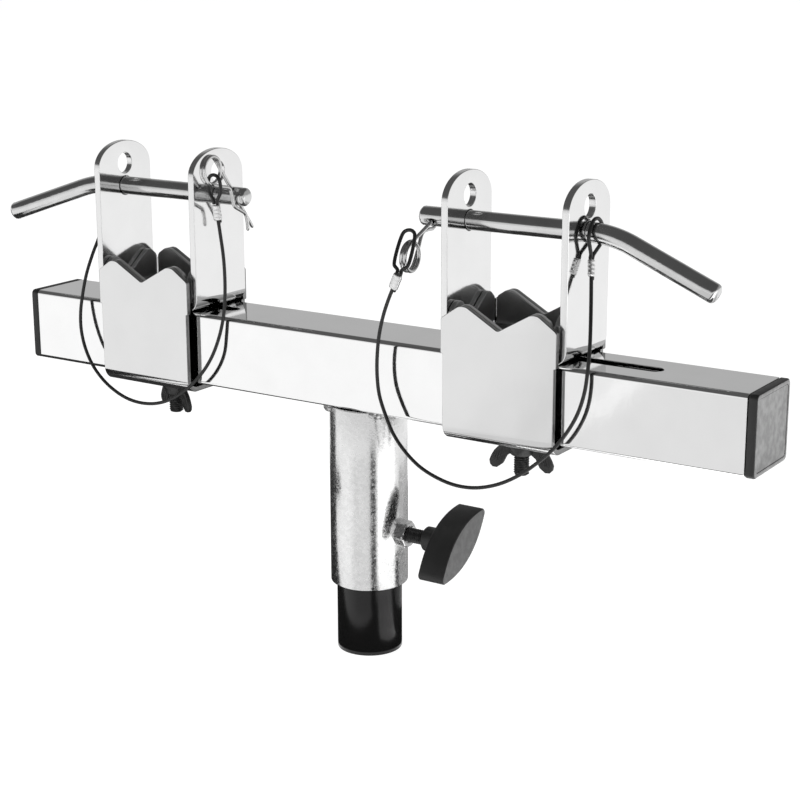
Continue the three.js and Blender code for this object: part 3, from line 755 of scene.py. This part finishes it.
# A notch is its valley's height, how far out the hills stand, their height, the radius of
# their tops and the slope beyond them; heights are over the bar's axis.
SIDE_NOTCH, END_NOTCH = (34.5, 20.2, 46, 6, 0.6), (35.2, 14.5, 46, 5, 0.7)
SADDLE_SHEET = CROWN_SHEET = 2.8
SADDLE_STEP, SIDE_HALF, END_HALF, BOLT_HOLE_R = 1.2, 27.4, 20.8, 4.5
YOKE_SHEET, EAR_ROUND, PIN_HOLE_R = 3.7, 14, 5.4
UPPER_HOLE_R, UPPER_HOLE_RISE, PIN_R = 5.8, 12.6, 5.0
BOLT_X = {}
for side in ("left", "right"):
    body = f"cradle_{side}"
    bolt_low, bolt_high = box_mm(f"clamp_bolt_{side}")
    x0 = BOLT_X[side] = (bolt_low[0] + bolt_high[0]) / 2

    low, high = box_mm(f"saddle_{side}")
    bend = Fold(high[1] - SADDLE_SHEET, 5.0)
    floor_z = low[2] + SADDLE_SHEET
    left_end, right_end = x0 - low[0], high[0] - x0
    shoulder = bend.flat_length(BAR_Z + BAR_HALF - floor_z)
    top = notched(*SIDE_NOTCH, left_end, right_end)
    leg = [(x, bend.flat_length(z + BAR_Z - floor_z)) for x, z in top]
    right_side = [(right_end - SADDLE_STEP, shoulder - 0.4), (right_end - 0.3, shoulder),
                  (right_end, shoulder + 0.4)]
    left_side = [(-left_end, shoulder + 0.4), (-left_end + 0.3, shoulder),
                 (-left_end + SADDLE_STEP, shoulder - 0.4)]
    upper = right_side + leg + left_side
    outline = upper + [(x, -v) for x, v in reversed(upper)]
    folded(f"saddle_strip_{side}", blank(outline, [circle(0, 0, BOLT_HOLE_R)], SADDLE_SHEET),
           SADDLE_SHEET, [("y", at) for at in bend.lines()],
           lambda x, v, t: (x + x0, bend.place(v, t)[0], bend.place(v, t)[1] + floor_z),
           body, [saddle_chrome, cut_edge], f"saddle_{side}")

    low, high = box_mm(f"crown_{side}")
    across = Fold(high[1] - CROWN_SHEET, 2.0)
    endways = Fold(high[0] - x0 - CROWN_SHEET, 2.6)
    crown_floor = low[2] + CROWN_SHEET
    side_top = [(x, across.flat_length(z + BAR_Z - crown_floor)) for x, z in
                notched(*SIDE_NOTCH, SIDE_HALF, SIDE_HALF)]
    end_top = [(endways.flat_length(z + BAR_Z - crown_floor), y) for y, z in
               notched(*END_NOTCH, END_HALF, END_HALF)]
    relief = [(endways.flat + 3.6, END_HALF), (endways.flat + 2.6, across.flat + 0.3),
              (endways.flat + 2.0, across.flat - 0.1), (endways.flat + 1.7, across.flat + 0.5),
              (SIDE_HALF, across.flat + 1.4)]
    quarter_up = [(x, -y) for x, y in relief[::-1]]
    rim = (quarter_up + [(u, y) for u, y in end_top[::-1]] + relief + side_top
           + [(-x, y) for x, y in relief[::-1]] + [(-u, y) for u, y in end_top]
           + [(-x, -y) for x, y in relief] + [(x, -y) for x, y in side_top[::-1]])

    def crown_place(x, y, t):
        if abs(y) > across.flat and abs(x) < endways.flat + 1.85:
            out, up = across.place(y, t)
            return x + x0, out, up + crown_floor
        out, up = endways.place(x, t)
        return out + x0, y, up + crown_floor

    folded(f"crown_blank_{side}", blank(rim, [circle(0, 0, BOLT_HOLE_R)], CROWN_SHEET),
           CROWN_SHEET,
           [("y", at) for at in across.lines(8)] + [("x", at) for at in endways.lines(8)],
           crown_place, body, [dark_chrome, light_edge], f"crown_{side}")

    low, high = box_mm(f"yoke_{side}")
    ear = Fold(high[0] - x0 - YOKE_SHEET, 4.0)
    yoke_floor = low[2] + YOKE_SHEET
    ear_half, ear_top = high[1], high[2]
    pin_at = box_mm(f"locking_pin_{side}")[1][2] - PIN_R - yoke_floor
    spring_at = ear.flat_length(ear_top - EAR_ROUND - yoke_floor)
    ear_end = [(spring_at + EAR_ROUND * math.cos(a), ear_half * math.sin(a))
               for a in np.linspace(-math.pi / 2, math.pi / 2, 40)]
    outline = ear_end + [(-x, y) for x, y in ear_end[::-1]]
    holes = [circle(0, 0, BOLT_HOLE_R)]
    for sign in (-1, 1):
        holes += [circle(sign * ear.flat_length(pin_at), 0, PIN_HOLE_R),
                  circle(sign * ear.flat_length(pin_at + UPPER_HOLE_RISE), 0, UPPER_HOLE_R)]
    folded(f"yoke_channel_{side}", blank(outline, holes, YOKE_SHEET), YOKE_SHEET,
           [("x", at) for at in ear.lines()],
           lambda v, y, t: (ear.place(v, t)[0] + x0, y, ear.place(v, t)[1] + yoke_floor),
           body, [plate_chrome, rolled_edge], f"yoke_{side}")

# ---- Clamp bolts, washers and wing nuts -----------------------------------------------
# A dome-headed 8 mm bolt holds each cradle through the bar's slots. Below the saddle it
# carries a thin washer and a black wing nut whose wings are ribbed for the fingers.

BOLT_R, HEAD_R, HEAD_HEIGHT, WASHER_R, HUB_HEIGHT = 4, 8.2, 4.7, 8.6, 7
LOBE_HALF, RIBS = 1.3, 4
LOBE = np.array([(4.6, -6.2), (7.8, -8.6), (10, -13), (13, -15.3), (15.4, -15.2), (16.8, -13.8),
                 (17.2, -11.6), (16.2, -9), (14.6, -6.2), (12.4, -3.9), (9.6, -1.9), (4.6, -1.2)])
lobe_rim = [(1 - t) * corner + t * after for corner, after in zip(LOBE, np.roll(LOBE, -1, 0))
            for t in (0.0, 0.25, 0.75)]
NUT_ANGLE = {"left": -0.4, "right": 0.15}
for side in ("left", "right"):
    x0 = BOLT_X[side]
    low, high = box_mm(f"clamp_bolt_{side}")
    washer_low, washer_high = box_mm(f"washer_{side}")
    nut_low, nut_high = box_mm(f"wing_nut_{side}")
    head = high[2] - HEAD_HEIGHT
    dome = [(HEAD_R - 0.3, head), (HEAD_R, head + 0.4), (HEAD_R, head + 0.9)]
    dome += [(HEAD_R * math.cos(a), head + 0.9 + 3.8 * math.sin(a))
             for a in np.linspace(0.1, math.pi / 2, 10)]
    bolt = together(threaded(BOLT_R, low[2], head + 0.3, blank_from=washer_high[2] + 3),
                    turned([(0, head)] + dome, sides=48))
    piece(f"cradle_bolt_{side}", moved(bolt, (x0, 0, 0)), f"cradle_{side}",
          black_steel, f"clamp_bolt_{side}", crease=50)
    piece(f"cradle_washer_{side}",
          moved(pipe(WASHER_R, BOLT_HOLE_R, washer_low[2], washer_high[2], 0.25, 56),
                (x0, 0, 0)),
          f"cradle_{side}", black_steel, f"washer_{side}")

    top, base = nut_high[2], nut_high[2] - HUB_HEIGHT
    hub = turned([(4.3, top), (4.3, base), (5.4, base), (6.0, base + 0.6), (6.6, base + 3),
                  (7.4, top - 1.6), (7.4, top - 0.3), (7.1, top)], joined=True, sides=48)
    parts = [hub]
    for sign in (-1, 1):
        points, faces = eased_prism(lobe_rim, -LOBE_HALF, LOBE_HALF, 0.5, 3)
        parts.append((np.column_stack([sign * points[:, 0], points[:, 2], top + points[:, 1]]),
                      faces))
        for face in (-1, 1):
            for k in range(RIBS):
                start = np.array([8.6 + 1.55 * k, -4.2 - 0.9 * k + 0.35])
                end = start + np.array([3.0 - 0.35 * k, -7.6 + 0.7 * k])
                rib = [(sign * x, face * LOBE_HALF, top + z) for x, z in
                       (start + (end - start) * t for t in np.linspace(0, 1, 12))]
                swell = 0.42 * np.sin(np.linspace(0.12, math.pi - 0.12, 12)) ** 0.4
                parts.append(swept(rib, swell, 8))
    piece(f"wing_nut_cast_{side}",
          moved(together(*parts), (x0, 0, 0), Quaternion((0, 0, 1), NUT_ANGLE[side])),
          f"wing_nut_{side}", black_steel, f"wing_nut_{side}", crease=45)

# ---- Locking pins ---------------------------------------------------------------------
# Polished 10 mm steel rod through both ears, bent down at one end as a handle. Its tip is
# chamfered and cross-drilled for the spring clip.

steel, shader, where = new_finish("steel", grey(0.6), Metallic=1.0, Roughness=0.14)
draw = grain(where, 0.0011, 3, stretch=(0.04, 1, 1))
wire_in(shader, "Base Color", grain(where, 0.008, 5).blend(grey(0.54), grey(0.7)))
wire_in(shader, "Roughness", 0.1 + draw * 0.12)
roughen(shader, draw, 0.00003)

STRAIGHT, HANDLE_OUT, HANDLE_DROP, BEND_REACH = 107, 54.5, 23.5, 12
DRILL_R, DRILL_HALF, CLIP_AT = 1.6, 9, 8.4
# For each pin: which way along the bar its handle points, how far the handle leans to the
# front and how far its clip is turned round the pin, both in radians.
PIN_SETS = {"left": (-1, 0.58, -0.916), "right": (1, 0.0, 0.4)}
PIN_TIP = {}
for side, (handle, lean, leg_angle) in PIN_SETS.items():
    low, high = box_mm(f"locking_pin_{side}")
    tip = PIN_TIP[side] = high[0] if handle < 0 else low[0]
    pin_z = high[2] - PIN_R
    corner = np.array([tip + handle * STRAIGHT, 0, pin_z])
    end = corner + np.array([handle * HANDLE_OUT, -HANDLE_DROP * math.sin(lean),
                             -HANDLE_DROP * math.cos(lean)])
    along = (end - corner) / np.linalg.norm(end - corner)
    a, b = corner - (handle * BEND_REACH, 0, 0), corner + along * BEND_REACH
    start = np.array([tip, 0, pin_z])
    stations = (0, 0.35, 1.3, 2, *np.linspace(8, handle * (a - start)[0], 24))
    straight = [start + (handle * d, 0, 0) for d in stations]
    bend_t = np.linspace(0, 1, 20)[1:-1, None]
    bent = list((1 - bend_t) ** 2 * a + 2 * bend_t * (1 - bend_t) * corner + bend_t ** 2 * b)
    reach = np.linalg.norm(end - b)
    tail = [b + along * d for d in (*np.linspace(0, reach - 1.8, 8), reach - 0.7, reach - 0.1,
                                    reach + 0.25)]
    path = straight + bent + tail
    radii = np.full(len(path), PIN_R)
    radii[:3] = PIN_R - 1.5, PIN_R - 1.0, PIN_R - 0.12
    radii[-3:] = PIN_R - 0.35, PIN_R - 0.95, PIN_R - 1.7
    pin = piece(f"pin_rod_{side}", swept(path, radii, 48), f"pin_{side}", steel,
                f"locking_pin_{side}", crease=45)
    leg = np.array([0, math.cos(leg_angle), math.sin(leg_angle)])
    hole_at = np.array([tip + handle * CLIP_AT, 0, pin_z])
    cut_away(pin, swept([hole_at - leg * DRILL_HALF, hole_at, hole_at + leg * DRILL_HALF],
                        [DRILL_R] * 3, 24))

# ---- Spring clips ---------------------------------------------------------------------
# Bent from 2 mm spring wire: a straight leg through the pin's hole, a double ring, and a
# waved leg that springs over the outside of the pin.

CLIP_WIRE_R, CLIP_RING_R, CLIP_RING_BACK, CLIP_PITCH, CLIP_TURNS = 1.0, 7.4, 26.5, 2.15, 1.6
WAVED_LEG = [(-16, 8.6), (-10, 4), (-5.4, 4.8), (0, 6.9), (5.4, 4.8), (10, 2.9), (14, 4), (19, 7)]


def through(points, step):
    """Points every step mm along the smooth curve through these points."""
    p = np.array(points, float)
    p = np.concatenate([[2 * p[0] - p[1]], p, [2 * p[-1] - p[-2]]])
    line = []
    for p0, p1, p2, p3 in zip(p, p[1:], p[2:], p[3:]):
        t = np.cumsum([0] + [math.sqrt(np.linalg.norm(q - r)) for q, r in
                             ((p1, p0), (p2, p1), (p3, p2))])
        for u in np.linspace(t[1], t[2], 25)[:-1]:
            a1 = ((t[1] - u) * p0 + (u - t[0]) * p1) / (t[1] - t[0])
            a2 = ((t[2] - u) * p1 + (u - t[1]) * p2) / (t[2] - t[1])
            a3 = ((t[3] - u) * p2 + (u - t[2]) * p3) / (t[3] - t[2])
            b1 = ((t[2] - u) * a1 + (u - t[0]) * a2) / (t[2] - t[0])
            b2 = ((t[3] - u) * a2 + (u - t[1]) * a3) / (t[3] - t[1])
            line.append(((t[2] - u) * b1 + (u - t[1]) * b2) / (t[2] - t[1]))
    line = np.array(line + [p[-2]])
    run = np.concatenate([[0], np.cumsum(np.linalg.norm(np.diff(line, axis=0), axis=1))])
    even = np.linspace(0, run[-1], max(4, round(run[-1] / step)) + 1)
    return np.stack([np.interp(even, run, line[:, i]) for i in range(3)], 1)


for side, (handle, lean, leg_angle) in PIN_SETS.items():
    leg = np.array([0, math.cos(leg_angle), math.sin(leg_angle)])
    wide = np.array([0, leg[2], -leg[1]])
    pin_z = box_mm(f"locking_pin_{side}")[1][2] - PIN_R
    at = np.array([PIN_TIP[side] + handle * CLIP_AT, 0, pin_z])

    def wire_point(a, b, offset):
        return at + leg * a + wide * b + np.array([-handle * offset, 0, 0])

    route = [wire_point(a, 0, 0) for a in (24, 16, 8, 0, -8, -16, -22)]
    for phi in np.linspace(0, CLIP_TURNS * math.tau, 21):
        route.append(wire_point(-CLIP_RING_BACK - CLIP_RING_R * math.sin(phi),
                                CLIP_RING_R - CLIP_RING_R * math.cos(phi),
                                CLIP_PITCH * phi / math.tau))
    route += [wire_point(a, b, CLIP_PITCH * CLIP_TURNS) for a, b in WAVED_LEG]
    line = through(route, 0.8)
    radii = np.full(len(line), CLIP_WIRE_R)
    radii[[0, -1]], radii[[1, -2]] = 0.55, 1.05
    piece(f"clip_wire_{side}", swept(line, radii, 16), f"clip_{side}", steel,
          f"spring_clip_{side}", crease=50)

# ---- Tethers --------------------------------------------------------------------------
# Thin steel rope in a black coat, its strands just showing. A crimped metal sleeve closes
# an eye at each end: one round the pin, one through the clip's ring.

rope_coat, shader, where = new_finish("rope_coat", grey(0.016), Roughness=0.34,
                                      Specular_IOR_Level=0.5)
wire_in(shader, "Base Color", grain(where, 0.004, 4).blend(grey(0.006), grey(0.016)))
wire_in(shader, "Roughness", 0.34 + grain(where, 0.002, 3) * 0.2)
roughen(shader, grain(where, 0.0006, 2), 0.00003)

crimped, shader, where = new_finish("crimped_sleeve", grey(0.78), Metallic=1.0, Roughness=0.24)
wire_in(shader, "Base Color", grain(where, 0.002, 4).blend(grey(0.62), grey(0.86)))
wire_in(shader, "Roughness", 0.18 + grain(where, 0.0015, 4) * 0.22)
roughen(shader, grain(where, 0.0009, 3), 0.00009)

ROPE_R, STRANDS, LAY, EYE_GAP = 0.95, 6, 11.0, 1.2
SLEEVE_LENGTH, SLEEVE_WIDE, SLEEVE_THIN, CRIMPS = 8.0, 2.5, 1.5, 3


def rope_skin(points, step=0.7):
    """Rope along a route, with its strands' twist under the coat."""
    line = through(points, step)

    def strands(turn, i):
        swell = 1 - 0.05 * (0.5 - 0.5 * np.cos(STRANDS * (turn - math.tau * i * step / LAY)))
        return swell * np.cos(turn), swell * np.sin(turn)

    radii = np.full(len(line), ROPE_R)
    radii[[0, -1]] = ROPE_R * 0.85
    return line, swept(line, radii, 30, strands)


def unit(v):
    return v / np.linalg.norm(v)


# Points in mm, with heights over the bar's axis. Each end gives the eye's root and tip, the
# half width of the eye and where along it the eye is widest.
TETHERS = {
    "left": {
        "clip": ((-82.6, -21.2, 81), (-83.2, -21.5, 97), (3.9, 0, 0), 0.4),
        "pin": ((-172.3, -7, 70), (-172, 3.1, 88.7), (0, 5.8, -3.15), 0.42),
        "route": [
            (-80.4, -21, 66), (-78.5, -21.2, 54), (-77.7, -21.4, 42), (-77.9, -21.6, 31),
            (-79, -21.9, 21), (-81.2, -23.2, 10), (-84.8, -25.4, -1), (-90.4, -27.2, -10.4),
            (-98.5, -28.8, -19.2), (-108.5, -30, -26.4), (-119.5, -30.6, -31),
            (-130.5, -30.6, -32.7), (-141.6, -30.2, -32), (-152, -29.4, -29),
            (-161.5, -28.6, -24), (-169.3, -28, -17), (-175.4, -27.2, -7.5),
            (-178.6, -26.4, 2.5), (-179.6, -25.2, 12), (-179, -23.6, 22), (-177.6, -21, 34),
            (-175.6, -17.4, 45), (-173.8, -13, 55)],
        "bend": ((-0.16, -0.028, 0.13), (-0.09, -0.028, 0.13)),
    },
    "right": {
        "clip": ((40.2, -32.4, 58), (40.6, -22.4, 79), (3.9, 0, 0), 0.17),
        "pin": ((132.2, -4.6, 70.3), (131.9, 2.3, 89.2), (0, 6.15, -2.3), 0.42),
        "route": [
            (33.6, -31, 45), (30, -30.2, 36.6), (26.6, -29.2, 25.5), (24.8, -28.4, 14.5),
            (24.4, -28, 4), (25.8, -28.2, -6), (29.6, -28.6, -15.6), (35, -29.2, -25.2),
            (42.3, -29.8, -33), (51.5, -30.4, -39.4), (62, -30.8, -43.4), (73, -31, -45.4),
            (84.5, -31, -44.8), (97, -30.7, -41), (108.5, -30.2, -34.6), (118.5, -29.4, -26.6),
            (127, -28.2, -18), (133.2, -26.6, -9), (137.4, -25, 0), (139.8, -23.4, 10),
            (140.5, -21.9, 20.5), (139.6, -18.6, 31), (137.8, -14.8, 41), (135.6, -10.6, 51)],
        "bend": ((0.11, -0.028, 0.12), (0.04, -0.028, 0.12)),
    },
}
LIFT = np.array([0, 0, BAR_Z])
for side, tether in TETHERS.items():
    route = [np.array(p) + LIFT for p in tether["route"]]
    ends, extras = {}, []
    for end, toward in (("clip", route[0]), ("pin", route[-1])):
        root, tip, wide, throat = tether[end]
        root, tip, wide = np.array(root) + LIFT, np.array(tip) + LIFT, np.array(wide, float)
        along = unit(root - toward)
        foot_of_eye = root + along * EYE_GAP
        reach = tip - foot_of_eye
        shoulder = 1 - np.linalg.norm(wide) / np.linalg.norm(reach)
        foot = 1.15 / np.linalg.norm(wide)
        half = [(-0.06, foot), (0, foot), (0.06, foot), ((0.06 + throat) / 2, (1 + foot) / 2),
                (throat, 1), (shoulder, 1), (shoulder + (1 - shoulder) * 0.72, 0.72)]
        loop = ([foot_of_eye + reach * t + wide * w for t, w in half] + [tip]
                + [foot_of_eye + reach * t - wide * w for t, w in half[::-1]])
        _, eye = rope_skin(loop)
        extras.append(piece(f"rope_eye_{end}_{side}", eye, f"{end}_{side}", rope_coat,
                            f"tether_eye_{end}_{side}", crease=0))

        tail = root - along * SLEEVE_LENGTH
        broad = unit(wide - along * wide.dot(along))
        stations = np.concatenate([[0, 0.15, 0.5], np.linspace(0.9, 7.1, 32), [7.5, 7.85, 8]])
        ease = np.minimum(1, np.minimum(stations, SLEEVE_LENGTH - stations) / 0.5)
        thin = np.cross(along, broad)
        turn = np.linspace(0, math.tau, 36, endpoint=False)
        rings = []
        for s, round_off in zip(stations, ease):
            crimp = 0.5 - 0.5 * math.cos(math.tau * CRIMPS * (s - 1) / 6) if 1 < s < 7 else 0
            w = (SLEEVE_WIDE + 0.08 * crimp) * (0.9 + 0.1 * round_off)
            h = (SLEEVE_THIN - 0.16 * crimp) * (0.84 + 0.16 * round_off)
            a = np.sign(np.cos(turn)) * np.abs(np.cos(turn)) ** 0.8 * w
            b = np.sign(np.sin(turn)) * np.abs(np.sin(turn)) ** 0.8 * h
            rings.append(root - along * s + np.outer(a, broad) + np.outer(b, thin))
        extras.append(piece(f"sleeve_{end}_{side}", skin(rings), f"{end}_{side}",
                            crimped, f"tether_ferrule_{end}_{side}", crease=50))
        stub = tail + broad * 1.25
        stub_path = [stub - along * d for d in (-0.6, 0, 1.2, 1.5)]
        extras.append(piece(f"rope_tail_{end}_{side}",
                            swept(stub_path, [0.8, 0.85, 0.85, 0.6], 20),
                            f"{end}_{side}", rope_coat, (), crease=50))
        ends[end] = tail + along * 0.5
    line, rope_solid = rope_skin([ends["clip"], *route, ends["pin"]])
    rope = piece(f"rope_{side}", rope_solid, None, rope_coat,
                 f"tether_rope_{side}", crease=0)
    length = float(np.linalg.norm(np.diff(line, axis=0), axis=1).sum()) * MM
    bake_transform(rope)
    tuple(ends["pin"] * MM)
    [tuple(p) for p in line[::-1] * MM]
